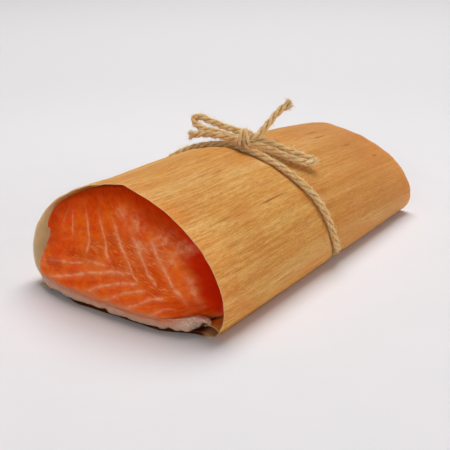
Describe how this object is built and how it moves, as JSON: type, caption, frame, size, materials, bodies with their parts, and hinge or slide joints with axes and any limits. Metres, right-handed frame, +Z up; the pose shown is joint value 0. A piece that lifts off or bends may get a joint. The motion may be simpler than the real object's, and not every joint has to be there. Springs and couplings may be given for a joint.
{
  "type": "wood wrapped salmon fillet",
  "caption": "Raw salmon fillet rolled in a thin cedar sheet and tied round the middle with a jute twine bow, its cut end showing at the open front.",
  "frame": {"origin": "on the standing surface, under the middle of the whole object's box", "axes": "+Z up; +Y along the roll and the wood's grain, away from the open end that shows the cut fillet; +X across the roll, to the right as seen from that end"},
  "size_m": [0.0884, 0.168, 0.0615],
  "materials": {
    "cedar": "raw thin cedar sheet, fine straight grain along its length, satin",
    "salmon": "raw orange salmon flesh with pale fat lines, moist, slightly translucent",
    "skin_and_fat": "pale grey-pink fat over silver fish skin, wet",
    "jute": "natural three-ply jute twine, rough and hairy"
  },
  "bodies": {
    "root": {"cedar_wrap": "cedar", "salmon_flesh": "salmon", "skin_layer": "skin_and_fat", "jute_twine": "jute"}
  },
  "joints": []
}
